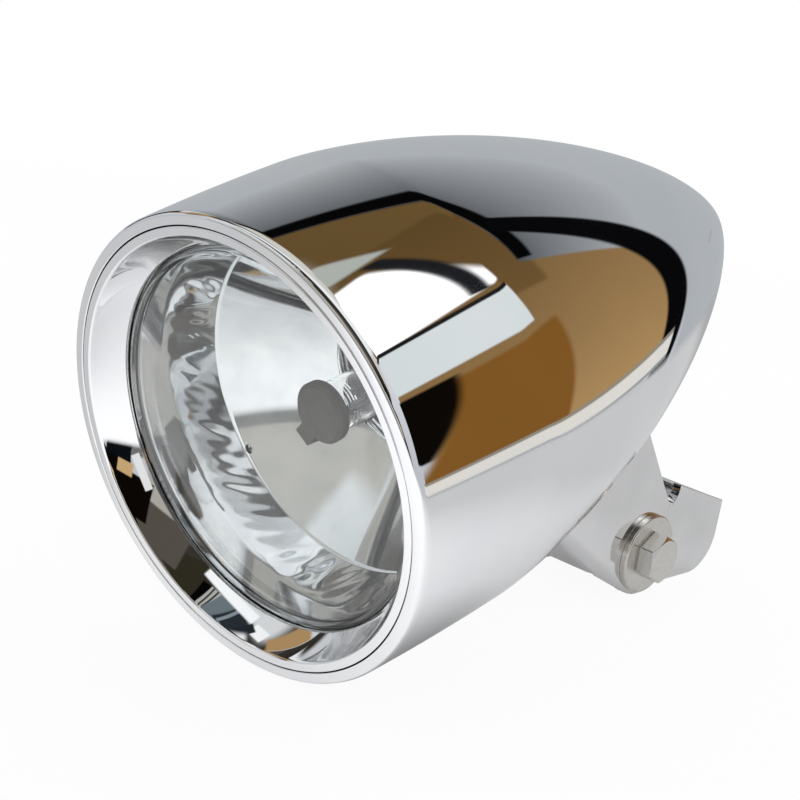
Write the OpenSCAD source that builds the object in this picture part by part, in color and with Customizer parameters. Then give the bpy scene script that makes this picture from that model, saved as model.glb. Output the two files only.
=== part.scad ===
// Round bullet headlight for a motorcycle, on a tilting two-piece bottom bracket.
// Lamp parts are drawn on the lamp's own axis: Y runs back from the rim plane, Z is up.
// The bracket parts are drawn round the pivot. Placement modules then bring both together,
// with the origin at the middle of the mounting hole, on the bracket's underside.

/* [Shell] */
// Outer radius of the shell at its front rim
rim_r = 58; // [50:0.5:70]
// How much larger the shell's radius is at its belly than at the rim
belly_swell = 1.3; // [0.5:0.1:4]
// Distance of the belly behind the rim plane
belly_y = 43; // [30:1:60]
// Length of the shell from rim plane to tail
shell_len = 192; // [170:1:220]
// Fullness of the curve just behind the belly
belly_power = 1.56; // [1.3:0.02:2]
// Bluntness of the tail, lower is rounder
tail_power = 0.73; // [0.6:0.01:0.9]
// Thickness of the shell's sheet
shell_wall = 1.8; // [1.2:0.1:2.5]
// Radial thickness of the rolled rim
hem_wall = 3; // [2.2:0.1:4]
// Depth of the rolled rim
hem_depth = 15; // [12:0.5:20]

/* [Bezel and glass] */
// Radial gap between rolled rim and bezel
bezel_gap = 0.15; // [0.05:0.05:0.5]
// Width of the bezel's flat front lip
bezel_lip = 2.5; // [1.5:0.1:4]
// Depth of the bezel's polished throat
throat_depth = 8; // [6:0.2:10]
// How far the bottom of the throat lies inside the rim
throat_inset = 10; // [8:0.1:11]
// How hollow the throat's slope is, where 0 is a straight cone
throat_sag = 0.25; // [0:0.05:0.6]
// Length of the bezel from its lip to the end of its skirt
bezel_depth = 21; // [18:0.5:26]
// Thickness of the bezel's skirt
skirt_wall = 1.2; // [0.8:0.1:2]
// Thickness of the glass
glass_t = 3; // [2:0.1:4]
// How far the middle of the glass bulges forward of its flange
glass_rise = 6.5; // [3:0.5:9]
// Thickness of the rubber in front of the glass flange
gasket_t = 1; // [0.6:0.1:2]

/* [Reflector] */
// Thickness of the reflector
reflector_wall = 1.4; // [1:0.1:2]
// How far the reflector's mouth lies inside the rim
mouth_inset = 7.2; // [7:0.1:8]
// How far the crease between facet band and bowl lies inside the mouth
crease_inset = 5.8; // [3:0.1:8]
// Distance of the facet band's front edge behind the rim plane
band_y = 22; // [18:0.5:26]
// Distance of the crease behind the rim plane
crease_y = 36; // [32:0.5:40]
// Focal length of the bowl
focal_len = 19.3; // [18:0.1:24]
// Number of facets round the facet band
facet_count = 36; // [18:2:40]
// Depth of each facet's hollow
facet_depth = 0.45; // [0.3:0.05:1.2]
// Radius of the hole for the bulb
bulb_hole_r = 19; // [17:0.5:21]

/* [Bulb] */
// Distance from focus back to the bulb's flange
light_centre_len = 29.5; // [28:0.5:31]
// Radius of the bulb's glass
bulb_r = 6.5; // [5:0.5:7]
// Radius of the bulb's base flange
bulb_flange_r = 21.5; // [20.5:0.5:23]
// Radius of the light shield in front of the bulb
shield_r = 8; // [7:0.1:12]
// Distance from the focus forward to the shield's face
shield_ahead = 13.8; // [12:0.1:18]
// Depth of the shield's rim
shield_depth = 3; // [2:0.5:8]
// Wall of the bulb's glass
bulb_wall = 1; // [0.6:0.1:1.4]
// Distance from flange forward to the foot of the bulb's glass
bulb_foot = 7; // [5:0.5:9]
// Length of glass that the base's sleeve grips
sleeve_grip = 5; // [3:0.5:6]
// Wall of the base's sleeve
sleeve_wall = 1.5; // [1:0.1:2]
// Thickness of the base flange
flange_t = 1.4; // [1:0.1:2]
// Length of the base behind its flange
cap_len = 12; // [10:0.5:14]
// Length of each filament coil
filament_len = 5; // [4:0.5:6]
// Radius of each filament coil
filament_r = 0.6; // [0.4:0.1:0.8]
// Distance of each filament from the axis, and from the focus along it
filament_shift = 2.4; // [1.5:0.1:3]
// Radius of the wires that hold the filaments
wire_r = 0.4; // [0.3:0.05:0.5]
// Width of a contact blade
blade_w = 7.6; // [6:0.1:8]
// Thickness of a contact blade
blade_t = 0.8; // [0.6:0.1:1]
// Length of a contact blade
blade_len = 9; // [7:0.5:10]
// Distance of the contact blades from the axis
blade_out = 7.5; // [7:0.1:8]

/* [Connector and boot] */
// Width of the connector over its flats
connector_w = 24; // [22:0.5:25]
// Length of the connector
connector_l = 20; // [16:1:26]
// Radius that rounds the connector's corners
connector_r = 13.4; // [13:0.1:14]
// Thickness of the rubber boot
boot_t = 1.6; // [1.2:0.1:2]

/* [Pivot] */
// Distance of the pivot behind the rim plane
pivot_y = 140.2; // [130:0.5:150]
// Distance of the pivot below the lowest edge of the rim
pivot_below = 27; // [22:0.5:34]
// Radius of the bolt's shank
bolt_r = 4; // [3:0.5:5]
// Width of the hexagon across its flats
hex_flats = 13; // [12:0.5:17]
// Height of the bolt's head
head_h = 5.5; // [4:0.1:7]
// Height of the nut
nut_h = 6.5; // [5:0.1:8]
// Outer radius of the flat washers
washer_r = 12; // [8:0.1:13]
// Thickness of the flat washers
washer_t = 2; // [1.2:0.1:2.5]
// Thickness of the spring washer
spring_washer_t = 2; // [1.6:0.1:2.5]

/* [Shell bracket] */
// Width over the two ears
ears_w = 35; // [30:0.5:40]
// Thickness of the ears and web
ear_t = 3; // [2:0.1:4]
// Radius of the ears' lower ends
ear_r = 13.2; // [12.6:0.1:13.4]
// Angle of the web from the vertical
web_angle = 41.2; // [35:0.2:48]
// Distance from pivot forward to the web's face
web_out = 15.2; // [14.5:0.1:17]
// Distance from pivot up to the web's lower edge
web_low = 15.5; // [14:0.5:22]
// Outer radius of the two long bends
bend_r = 4.5; // [3.5:0.1:6]
// Angle by which the ears widen towards the shell
ear_taper = 18.8; // [12:0.2:24]

/* [Mount bracket] */
// Height of the pivot above the base
pivot_h = 13.4; // [13.2:0.1:18]
// Distance from pivot back to the rear face
bracket_back = 46; // [42:0.5:55]
// Distance from pivot back to the mounting hole
hole_back = 26; // [24:0.5:30]
// Thickness of the bracket
bracket_t = 3; // [2:0.1:4]
// Gap on each side between bracket and ears
side_gap = 0.2; // [0.1:0.05:0.5]
// Radius of the bracket's lobe round the bolt
lobe_r = 12; // [10:0.5:13]
// Height of the rear top corner above the pivot
rear_top = 9.2; // [6:0.2:12]
// Distance from pivot back to the shoulder
shoulder_back = 19; // [17:0.5:22]
// Height of the shoulder above the pivot
shoulder_up = 17.5; // [15:0.5:19]
// Radius of the hollow in front of the shoulder
hollow_r = 6.6; // [5:0.2:8]
// Outer radius of the bend between base and rear face
base_bend_r = 12; // [6:0.5:12]
// Radius of the mounting hole
hole_r = 4.25; // [3.2:0.05:5.25]
// Outer radius of the spacer tube
spacer_r = 6.5; // [5.5:0.1:7.5]

/* [Grommet] */
// Distance of the cable grommet behind the rim plane
grommet_y = 126; // [122:1:132]
// Radius of the grommet's hole in the shell
grommet_hole_r = 6; // [5:0.5:8]
// Radius of the cable opening in the grommet
cable_r = 3.5; // [2.5:0.5:4.5]

/* [Hidden] */
$fn = 96;

// Smallest step used where one solid cuts through another
cut = 1;
// Clearance between welded or pressed neighbours
seat = 0.05;
// Clearance all round a bolt in a plain hole
bolt_gap = 0.2;
// Radial running clearance of the pivot
run_gap = 0.05;

chrome_colour = [0.82, 0.84, 0.86];
steel_colour = [0.7, 0.71, 0.72];
rubber_colour = [0.1, 0.1, 0.1];

belly_r = rim_r + belly_swell;

// Bezel and the parts it clamps, from the front backwards
bezel_r = rim_r - hem_wall - bezel_gap;
lip_r = bezel_r - bezel_lip;
throat_r = rim_r - throat_inset;
skirt_in_r = bezel_r - skirt_wall;
seat_y = throat_depth + 0.8;
glass_y = seat_y + gasket_t;
flange_y = glass_y + glass_t;
glass_r = skirt_in_r - 0.8;
inner_r = rim_r - mouth_inset;

// Bulb and bowl, placed from the focus.
// The bowl starts a small step inside the band of facets, so that their edges stay clear of each other.
edge_step = 0.15;
crease_r = inner_r - crease_inset;
bowl_edge_r = crease_r - edge_step;
vertex_y = crease_y + bowl_edge_r * bowl_edge_r / (4 * focal_len);
focus_y = vertex_y - focal_len;
bulb_base_y = focus_y + light_centre_len;
shield_y = focus_y - shield_ahead;
neck_y = vertex_y - pow(bulb_hole_r, 2) / (4 * focal_len);

// Bracket widths from the outside inwards
ear_in = ears_w / 2 - ear_t;
wall_out = ear_in - side_gap;
wall_in = wall_out - bracket_t;

// Tilt at which rim and base both stand on one flat surface
pivot_drop = rim_r + pivot_below;
head_tilt = asin(pivot_h / norm([pivot_y, pivot_below])) + atan2(pivot_below, pivot_y);

// Outer radius of a body of revolution with this belly, front radius and length, at distance y
function bullet_r(y, belly, front, len) =
    y < belly_y ? belly - (belly - front) * pow((belly_y - y) / belly_y, 2)
    : belly * pow(max(0, 1 - pow((y - belly_y) / (len - belly_y), belly_power)), tail_power);
function shell_r(y) = bullet_r(y, belly_r, rim_r, shell_len);

// Points of that outline, closer together towards the tail
shell_steps = 44;
function outline(belly, front, len, start) =
    [for (i = [0:shell_steps]) let (y = start + (len - start) * sin(90 * i / shell_steps))
        [bullet_r(y, belly, front, len), y]];

// Turns a profile of [radius, y] points round the lamp's axis
module turned() {
    rotate([-90, 0, 0]) rotate_extrude() children();
}

// Lays a shape drawn in the side view flat across the X axis, between two widths
module across(x_from, x_to) {
    translate([x_from, 0, 0]) rotate([90, 0, 90]) linear_extrude(x_to - x_from) children();
}

module rod(x_from, x_to, r) {
    translate([x_from, 0, 0]) rotate([0, 90, 0]) cylinder(h = x_to - x_from, r = r);
}

// Brings what is drawn round the pivot to its place above the mounting hole
module at_pivot() {
    translate([0, -hole_back, pivot_h]) children();
}

// Brings what is drawn on the lamp's axis to its place on the tilted head
module on_head() {
    at_pivot() rotate([head_tilt, 0, 0]) translate([0, -pivot_y, pivot_drop]) children();
}

// As at_pivot, for parts that are drawn along the slope of the shell bracket's web
module on_web() {
    at_pivot() rotate([head_tilt + web_angle, 0, 0]) children();
}

module shell_solid(extra) {
    turned() polygon(concat([[0, 0]], outline(belly_r + extra, rim_r + extra, shell_len + extra, 0)));
}

module shell_hollow() {
    turned() polygon(concat([[0, hem_depth]],
        outline(belly_r - shell_wall, rim_r - shell_wall, shell_len - 2 * shell_wall, hem_depth)));
    turned() translate([0, -cut]) square([rim_r - hem_wall, hem_depth + 2 * cut]);
}

// Rounds the rim's front edges
rim_round = 1.2;
module rim_edge() {
    turned() difference() {
        translate([rim_r - rim_round, -cut]) square([2 * rim_round, rim_round + cut]);
        translate([rim_r - rim_round, rim_round]) circle(rim_round);
    }
}

screw_y = 6.2;
screw_r = 2;
screw_head_r = 3.8;
module screw_cone(extra) {
    translate([0, screw_y, -rim_r - 0.4]) cylinder(h = screw_head_r - screw_r, r1 = screw_head_r + extra,
        r2 = screw_r + extra);
}

grommet_slope = atan2(shell_r(grommet_y - 1) - shell_r(grommet_y + 1), 2);
module at_grommet() {
    translate([0, grommet_y, -shell_r(grommet_y)]) rotate([grommet_slope, 0, 0]) children();
}

module shell() {
    color(chrome_colour) on_head() difference() {
        shell_solid(0);
        shell_hollow();
        rim_edge();
        translate([0, screw_y, -rim_r - cut]) cylinder(h = hem_wall + 2 * cut, r = screw_r + bolt_gap);
        screw_cone(seat);
        at_grommet() translate([0, 0, -4 * cut]) cylinder(h = 12 * cut, r = grommet_hole_r);
    }
}

// Cross-section of the sheet that the bracket is folded from, before its inside is taken out
ears_back = 60;
module fold_outside() {
    translate([-ears_w / 2, -web_out + bend_r]) square([ears_w, ears_back]);
    translate([-ears_w / 2 + bend_r, -web_out]) square([ears_w - 2 * bend_r, ears_back]);
    for (side = [-1, 1]) translate([side * (ears_w / 2 - bend_r), -web_out + bend_r]) circle(bend_r);
}

// Two ears and the web between them, with round bends
module fold_section() {
    inner_bend = bend_r - ear_t;
    difference() {
        fold_outside();
        translate([-ear_in, -web_out + bend_r]) square([2 * ear_in, ears_back + cut]);
        translate([-ear_in + inner_bend, -web_out + ear_t]) square([2 * (ear_in - inner_bend), ears_back]);
        for (side = [-1, 1]) translate([side * (ear_in - inner_bend), -web_out + bend_r]) circle(inner_bend);
    }
}

// The two ears alone, below the web
module ears_section() {
    difference() {
        fold_outside();
        translate([-ear_in, -web_out - cut]) square([2 * ear_in, ears_back + bend_r + 2 * cut]);
    }
}

// Block with the ears' side view: round end, straight front, rear edge that widens upwards.
// The straight edges run a hair inside the round end, so that they cross it and don't only touch it.
module ears_block() {
    half_w = ears_w / 2 + cut;
    end_shift = 2.4;
    hair = 0.03;
    reach = web_low + ears_back - 10;
    edge_r = ear_r - hair;
    rear = [end_shift + edge_r * cos(ear_taper), -edge_r * sin(ear_taper)];
    rod(-half_w, half_w, ear_r);
    translate([0, end_shift, 0]) rod(-half_w, half_w, ear_r);
    across(-half_w, half_w) polygon([
        [-edge_r, 0], [-web_out, web_low], [-web_out, reach],
        [rear[0] + reach * tan(ear_taper), reach + rear[1]], rear, [end_shift, -ear_r / 2], [0, -ear_r / 2]
    ]);
}

module shell_bracket() {
    color(chrome_colour) difference() {
        on_web() intersection() {
            union() {
                translate([0, 0, web_low]) linear_extrude(ears_back) fold_section();
                translate([0, 0, -ear_r - cut]) linear_extrude(web_low + ear_r + cut) ears_section();
            }
            ears_block();
        }
        on_head() shell_solid(seat);
        at_pivot() rod(-ears_w / 2 - cut, ears_w / 2 + cut, bolt_r + bolt_gap);
    }
}

module cable_grommet() {
    groove_r = grommet_hole_r - seat;
    collar_r = grommet_hole_r + 2.5;
    wall_r = shell_r(grommet_y) - shell_wall;
    inner_y = shell_wall + 0.45 + wall_r - sqrt(pow(wall_r, 2) - pow(collar_r, 2));
    color(rubber_colour) on_head() at_grommet() rotate_extrude() polygon([
        [cable_r, -2.6], [collar_r - 1.4, -2.6], [collar_r, -1.5], [collar_r, -0.55], [groove_r, -0.55],
        [groove_r, inner_y], [collar_r - 0.6, inner_y], [collar_r - 1.6, inner_y + 1.6], [cable_r, inner_y + 2.4]
    ]);
}

// Inner face of the bezel: a slightly hollow cone that opens forward, so that it mirrors what lies ahead
throat_steps = 12;
throat_front = 0.4;
screw_hole = 3.6;
function throat_curve(t) = lip_r + (throat_r - lip_r) * (t - throat_sag * t * (1 - t));

module bezel_ring() {
    throat = [for (i = [0:throat_steps]) let (t = i / throat_steps)
        [throat_curve(t), throat_front + (throat_depth - throat_front) * t]];
    color(chrome_colour) on_head() difference() {
        turned() polygon(concat(throat, [
            [throat_r, seat_y], [skirt_in_r, seat_y], [skirt_in_r, bezel_depth], [bezel_r, bezel_depth],
            [bezel_r, 0.5], [bezel_r - 0.5, 0], [lip_r + throat_front, 0]
        ]));
        translate([0, screw_y, -bezel_r - cut]) cylinder(h = screw_hole + cut, r = screw_r - seat);
    }
}

module bezel_screw() {
    color(steel_colour) on_head() difference() {
        union() {
            screw_cone(0);
            translate([0, screw_y, -rim_r - 0.4]) cylinder(h = 7, r = screw_r - 2 * seat);
        }
        translate([0, screw_y, -rim_r - 0.4 - cut]) for (turn = [0, 90]) rotate([0, 0, turn])
            translate([-2, -0.4, 0]) cube([4, 0.8, 1 + cut]);
    }
}

// Clear glass: flat flange, rolled shoulder and a shallow dome
glass_steps = 16;
module lens_glass() {
    shoulder_r = throat_r - 1.2;
    shoulder_y = glass_y - 1.4;
    dome_top = glass_y - glass_rise;
    front = [for (i = [0:glass_steps]) let (r = shoulder_r * (1 - i / glass_steps))
        [r, dome_top + (shoulder_y - dome_top) * pow(r / shoulder_r, 2)]];
    back = [for (i = [glass_steps:-1:0]) let (r = (shoulder_r - 1.4) * (1 - i / glass_steps))
        [r, dome_top + glass_t + (shoulder_y + 1.2 - dome_top) * pow(r / shoulder_r, 2)]];
    color([0.85, 0.9, 0.92, 0.35]) on_head() turned() polygon(concat(
        [[glass_r, flange_y - seat], [glass_r, glass_y], [throat_r + 0.2, glass_y], [throat_r - 0.5, glass_y - 0.6]],
        front, back, [[shoulder_r - 0.9, flange_y - seat]]
    ));
}

module lens_gasket() {
    color(rubber_colour) on_head() turned() polygon([
        [throat_r + 0.4, seat_y + seat], [skirt_in_r - seat, seat_y + seat], [skirt_in_r - seat, flange_y - seat],
        [glass_r + seat, flange_y - seat], [glass_r + seat, glass_y - seat], [throat_r + 0.4, glass_y - seat]
    ]);
}

// Inner face of the reflector: a plain front edge, a band of hollow facets, then the smooth bowl
band_r = inner_r - 0.8;
band_steps = 7;
round_steps = 3;
function bowl_r(y) = sqrt(4 * focal_len * (vertex_y - y));
function facet_hollow(y, turn) =
    facet_depth * pow(sin(facet_count * turn / 2), 2) * sin(180 * (y - band_y) / (crease_y - band_y));
function facet_r(y, turn) =
    band_r + (crease_r - band_r) * pow((y - band_y) / (crease_y - band_y), 1.35) - facet_hollow(y, turn);

// Closed solid that the band of facets leaves open, a little longer than the band at its front
module facet_band() {
    count = facet_count * round_steps;
    levels = [for (i = [0:band_steps]) band_y + (crease_y - band_y) * i / band_steps];
    rings = [for (y = levels) for (k = [0:count - 1]) let (turn = 360 * k / count, r = facet_r(y, turn))
        [r * cos(turn), y, r * sin(turn)]];
    walls = [for (i = [0:band_steps - 1]) for (k = [0:count - 1]) let (n = (k + 1) % count)
        each [[i * count + k, i * count + n, (i + 1) * count + k],
              [i * count + n, (i + 1) * count + n, (i + 1) * count + k]]];
    front_cap = [[for (k = [count - 1:-1:0]) k]];
    back_cap = [[for (k = [0:count - 1]) band_steps * count + k]];
    polyhedron(points = rings, faces = concat(walls, front_cap, back_cap), convexity = 4);
}

bowl_steps = 14;
module reflector() {
    levels = [for (i = [0:bowl_steps]) crease_y + (neck_y - crease_y) * sin(90 * i / bowl_steps)];
    inside = [for (y = levels) [bowl_r(y), y]];
    back = [for (y = levels) [bowl_r(y) + reflector_wall, y + reflector_wall * 0.6]];
    color([0.85, 0.86, 0.88]) on_head() difference() {
        turned() polygon(concat([
            [0, flange_y + seat], [skirt_in_r - 2 * seat, flange_y + seat],
            [skirt_in_r - 2 * seat, flange_y + reflector_wall], [inner_r + reflector_wall, flange_y + reflector_wall],
            [inner_r + reflector_wall - 0.5, band_y]
        ], back, [
            [bulb_hole_r + reflector_wall, bulb_base_y], [0, bulb_base_y]
        ]));
        turned() polygon([[0, flange_y - cut], [inner_r, flange_y - cut], [band_r + edge_step, band_y + seat], [0, band_y + seat]]);
        facet_band();
        turned() polygon(concat([[0, crease_y - seat], [bowl_edge_r, crease_y - seat]], inside, [[0, neck_y]]));
        turned() translate([0, neck_y - cut]) square([bulb_hole_r, bulb_base_y - neck_y + 2 * cut]);
    }
}

// Four spring clips between the bezel's skirt and the reflector's flange
module retaining_clips() {
    clip_t = 0.8;
    clip_w = 9;
    low = flange_y + reflector_wall + seat;
    high = bezel_depth - 0.6;
    step_r = inner_r + reflector_wall + 0.2;
    out_r = skirt_in_r - seat;
    color(steel_colour) on_head() for (turn = [45:90:315])
        rotate([-90, turn, 0]) rotate_extrude(angle = clip_w / out_r * 180 / PI) polygon([
            [out_r, low], [step_r, low], [step_r, low + clip_t], [out_r - clip_t, low + clip_t],
            [out_r - clip_t, high - clip_t], [step_r, high], [out_r, high]
        ]);
}

// Shallow cap that hides the filaments, on a strip that first runs outwards and then back into the bowl
module bulb_shield() {
    cap_t = 0.6;
    strip_w = 5;
    strip_t = 0.7;
    strip_out = shield_r + 5.4;
    strip_y = shield_y + shield_depth - strip_t;
    foot_r = sqrt(pow(bulb_hole_r - seat, 2) - pow(strip_w / 2, 2));
    foot_y = neck_y + 5;
    bend_y = neck_y - 2;
    color([0.42, 0.38, 0.35]) on_head() {
        turned() polygon([
            [0, shield_y], [shield_r - 1, shield_y], [shield_r, shield_y + 1], [shield_r, shield_y + shield_depth],
            [shield_r - cap_t, shield_y + shield_depth], [shield_r - cap_t, shield_y + 1.2],
            [shield_r - 1.3, shield_y + cap_t], [0, shield_y + cap_t]
        ]);
        rotate([0, 220, 0]) translate([-strip_w / 2, 0, 0]) rotate([90, 0, 90]) linear_extrude(strip_w) polygon([
            [strip_y, shield_r - cap_t / 2], [strip_y, strip_out], [bend_y, foot_r], [foot_y, foot_r],
            [foot_y, foot_r - strip_t], [bend_y + strip_t / 4, foot_r - strip_t],
            [strip_y + strip_t, strip_out - strip_t], [strip_y + strip_t, shield_r - cap_t / 2]
        ]);
    }
}

// Hollow glass of the bulb, closed at the tip
module bulb_glass() {
    tip_y = shield_y + 4;
    foot_y = bulb_base_y - bulb_foot;
    tip_steps = 8;
    tip = [for (i = [0:tip_steps]) let (a = 90 * i / tip_steps)
        [bulb_r * sin(a), tip_y + bulb_r * 0.6 * (1 - cos(a))]];
    tip_inside = [for (i = [tip_steps:-1:0]) let (a = 90 * i / tip_steps)
        [(bulb_r - bulb_wall) * sin(a), tip_y + bulb_wall + bulb_r * 0.6 * (1 - cos(a))]];
    color([0.9, 0.92, 0.93, 0.4]) on_head() turned() polygon(concat(
        tip, [[bulb_r, foot_y], [bulb_r - bulb_wall, foot_y]], tip_inside));
}

// Two coiled filaments drawn as rods, each held by two wires that stand on the pinch of the glass
module bulb_filaments() {
    foot_y = bulb_base_y - bulb_foot;
    color([0.6, 0.6, 0.58]) on_head() for (side = [-1, 1]) translate([side * filament_shift, 0, 0]) {
        middle_y = focus_y - side * filament_shift;
        translate([0, middle_y - filament_len / 2, 0]) rotate([-90, 0, 0]) cylinder(h = filament_len, r = filament_r);
        for (end = [-1, 1]) let (end_y = middle_y + end * filament_len / 2) {
            translate([0, end_y, end * 2.5 * wire_r]) rotate([-90, 0, 0]) cylinder(h = foot_y - end_y, r = wire_r);
            translate([0, end_y, 0]) rotate([end < 0 ? 180 : 0, 0, 0]) cylinder(h = 2.5 * wire_r, r = wire_r);
        }
    }
}

// Metal flange with three lugs, and the sleeve that grips the glass
module bulb_base() {
    sleeve_r = bulb_r + sleeve_wall;
    sleeve_y = bulb_base_y - bulb_foot - sleeve_grip;
    lug_w = bulb_flange_r / 3;
    color(steel_colour) on_head() {
        difference() {
            union() {
                turned() translate([0, bulb_base_y + seat]) square([bulb_flange_r, flange_t]);
                turned() translate([0, sleeve_y]) square([sleeve_r, bulb_base_y - sleeve_y + flange_t]);
                turned() translate([0, bulb_base_y]) square([2 * sleeve_r - bulb_r + sleeve_wall, cap_len]);
            }
            turned() translate([0, sleeve_y - cut]) square([bulb_r + seat, sleeve_grip + cut + seat]);
        }
        for (turn = [0, 115, 245]) rotate([0, turn, 0])
            translate([-lug_w / 2, bulb_base_y + seat, bulb_flange_r - flange_t]) cube([lug_w, flange_t, 2 * flange_t]);
    }
}

// Places of the three contact blades and the angle each is turned by
blade_places = [[-blade_out, 0, 90], [blade_out, 0, 90], [0, blade_out, 0]];
module bulb_contacts() {
    color([0.75, 0.72, 0.62]) on_head() for (place = blade_places)
        translate([place[0], bulb_base_y + cap_len + seat, place[1]]) rotate([0, place[2], 0])
            translate([-blade_w / 2, 0, -blade_t / 2]) cube([blade_w, blade_len, blade_t]);
}

// Bent wire that presses the bulb's flange on its seat
module bulb_clip() {
    clip_r = 0.8;
    wire_y = bulb_base_y + flange_t + 2 * seat + clip_r;
    span = bulb_flange_r - 4;
    color(steel_colour) on_head() {
        for (side = [-1, 1]) translate([side * span * 0.8, wire_y, -span * 0.6])
            cylinder(h = 2 * span * 0.6 + 5, r = clip_r);
        translate([-span * 0.8, wire_y, span * 0.6 + 5]) rod(0, 2 * span * 0.8, clip_r);
        for (side = [-1, 1]) for (end = [0, 1]) translate([side * span * 0.8, wire_y, end ? span * 0.6 + 5 : -span * 0.6])
            sphere(clip_r);
    }
}

// Rubber boot over the back of the reflector, with a lip round the connector
module dust_boot() {
    neck_out = bulb_hole_r + reflector_wall + seat;
    wide_r = bulb_flange_r + 3;
    lip_end_r = connector_r + 4 * seat;
    end_y = bulb_base_y + cap_len + 1;
    color(rubber_colour) on_head() turned() polygon([
        [neck_out, neck_y + 6], [neck_out + boot_t, neck_y + 6], [wide_r + boot_t, neck_y + 9],
        [wide_r + boot_t, bulb_base_y + 4], [bulb_flange_r - 1, bulb_base_y + 8],
        [lip_end_r + boot_t, bulb_base_y + 9], [lip_end_r + boot_t, end_y], [lip_end_r, end_y],
        [lip_end_r, bulb_base_y + 7], [bulb_flange_r - 2, bulb_base_y + 6], [wide_r, bulb_base_y + 3],
        [wide_r, neck_y + 10], [neck_out, neck_y + 8]
    ]);
}

// Three-pole connector with a pocket for each blade
module connector() {
    start_y = bulb_base_y + cap_len + 4 * seat;
    pocket_w = blade_w + 0.6;
    pocket_t = blade_t + 0.8;
    color([0.13, 0.13, 0.14]) on_head() difference() {
        intersection() {
            translate([-connector_w / 2, start_y, -connector_w / 2]) cube([connector_w, connector_l, connector_w]);
            turned() translate([0, start_y]) square([connector_r, connector_l]);
        }
        for (place = blade_places) translate([place[0], start_y, place[1]]) {
            rotate([0, place[2], 0]) translate([-pocket_w / 2, -cut, -pocket_t / 2])
                cube([pocket_w, blade_len + 2 + cut, pocket_t]);
            translate([0, blade_len + 3, 0]) rotate([-90, 0, 0]) cylinder(h = connector_l, r = pocket_t);
        }
    }
}

// Hexagon with its corners chamfered, standing on x = 0 and pointing along X
module hexagon(height, chamfer_both) {
    corner_r = hex_flats / 2 / cos(30);
    bevel = (corner_r - hex_flats / 2) / 2;
    rotate([0, 90, 0]) intersection() {
        rotate([0, 0, 30]) cylinder(h = height, r = corner_r, $fn = 6);
        rotate_extrude() polygon([
            [0, 0], [hex_flats / 2 - (chamfer_both ? 0 : -3), 0], [corner_r + 1, chamfer_both ? bevel * 1.8 : 0],
            [corner_r + 1, height - bevel * 1.8], [hex_flats / 2 - 0.1, height], [0, height]
        ]);
    }
}

head_x = ears_w / 2 + washer_t;
nut_x = -ears_w / 2 - washer_t - spring_washer_t;
bolt_end = nut_x - nut_h - 2.5;
module pivot_bolt() {
    color(steel_colour) at_pivot() {
        translate([head_x, 0, 0]) hexagon(head_h, false);
        rod(bolt_end + 1, head_x + 0.2, bolt_r);
        translate([bolt_end, 0, 0]) rotate([0, 90, 0]) cylinder(h = 1, r1 = bolt_r - 0.8, r2 = bolt_r);
    }
}

module flat_washers() {
    color(steel_colour) at_pivot() for (side = [0, 1]) mirror([side, 0, 0]) translate([ears_w / 2, 0, 0])
        rotate([0, 90, 0]) rotate_extrude() polygon([
            [bolt_r + bolt_gap, 0], [washer_r, 0], [washer_r, washer_t * 0.7], [washer_r - 0.5, washer_t],
            [bolt_r + bolt_gap, washer_t]
        ]);
}

// Split ring: one turn with a slanted gap
module spring_washer() {
    ring_r = bolt_r + 3.4;
    color(steel_colour) at_pivot() difference() {
        translate([nut_x, 0, 0]) rotate([0, 90, 0]) difference() {
            cylinder(h = spring_washer_t, r = ring_r);
            translate([0, 0, -cut]) cylinder(h = spring_washer_t + 2 * cut, r = bolt_r + bolt_gap);
        }
        translate([nut_x + spring_washer_t / 2, 0, ring_r]) rotate([0, 0, 30])
            cube([3 * spring_washer_t, 0.8, 2 * ring_r], center = true);
    }
}

module pivot_nut() {
    color(steel_colour) at_pivot() difference() {
        translate([nut_x - nut_h, 0, 0]) hexagon(nut_h, true);
        rod(nut_x - nut_h - cut, nut_x + cut, bolt_r + seat);
    }
}

module pivot_spacer() {
    color(steel_colour) at_pivot() difference() {
        rod(-wall_in, wall_in, spacer_r);
        rod(-wall_in - cut, wall_in + cut, bolt_r + bolt_gap);
    }
}

// Side view of the mount bracket's cheeks, drawn round the pivot
base_front = 1;
module cheek_outline() {
    difference() {
        union() {
            circle(lobe_r);
            polygon([
                [-lobe_r * 0.7, -lobe_r * 0.7], [base_front, -pivot_h], [bracket_back - base_bend_r, -pivot_h],
                [bracket_back, -pivot_h + base_bend_r], [bracket_back, rear_top], [shoulder_back, shoulder_up],
                [shoulder_back - hollow_r, shoulder_up - hollow_r], [0, lobe_r]
            ]);
            translate([bracket_back - base_bend_r, -pivot_h + base_bend_r]) circle(base_bend_r);
        }
        translate([shoulder_back - hollow_r, shoulder_up]) circle(hollow_r);
    }
}

// Side view of the sheet that runs under the base and up the rear face
module base_strip() {
    inner_bend = base_bend_r - bracket_t;
    difference() {
        union() {
            translate([base_front, -pivot_h]) square([bracket_back - base_bend_r - base_front, bracket_t + pivot_h]);
            translate([base_front, -pivot_h + base_bend_r])
                square([bracket_back - base_front, rear_top + pivot_h - base_bend_r]);
            translate([bracket_back - base_bend_r, -pivot_h + base_bend_r]) circle(base_bend_r);
        }
        translate([base_front - cut, -pivot_h + base_bend_r])
            square([bracket_back - bracket_t - base_front + cut, 2 * pivot_h + rear_top]);
        translate([base_front - cut, -pivot_h + bracket_t])
            square([bracket_back - base_bend_r - base_front + cut, 2 * pivot_h + rear_top]);
        translate([bracket_back - base_bend_r, -pivot_h + base_bend_r]) circle(inner_bend);
    }
}

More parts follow.
